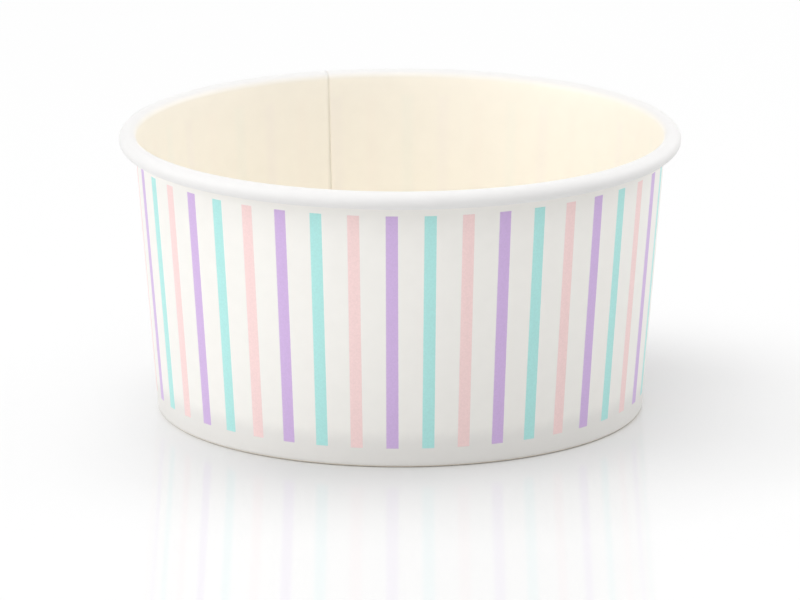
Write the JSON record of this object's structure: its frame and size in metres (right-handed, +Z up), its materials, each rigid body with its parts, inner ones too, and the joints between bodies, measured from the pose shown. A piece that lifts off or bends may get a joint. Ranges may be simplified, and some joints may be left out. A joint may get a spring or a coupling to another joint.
{
  "type": "ice cream tub",
  "caption": "Short round paperboard tub with a rolled rim, lapped side seam, pressed-in bottom disc and printed pastel stripes.",
  "frame": {"origin": "centre of the foot, on the surface that the tub stands on", "axes": "+Z up through the mouth; -Y is the side that faces the viewer, and the side seam is at the back, 108 degrees from +X towards +Y"},
  "size_m": [0.095, 0.095, 0.048],
  "materials": {
    "printed_paperboard": "smooth coated white board, satin, with narrow upright stripes in pale purple, aqua and pink on the outside",
    "plain_paperboard": "smooth coated cream white board, satin, unprinted"
  },
  "bodies": {
    "root": {"side_wall": "printed_paperboard", "bottom_disc": "plain_paperboard"}
  },
  "joints": []
}
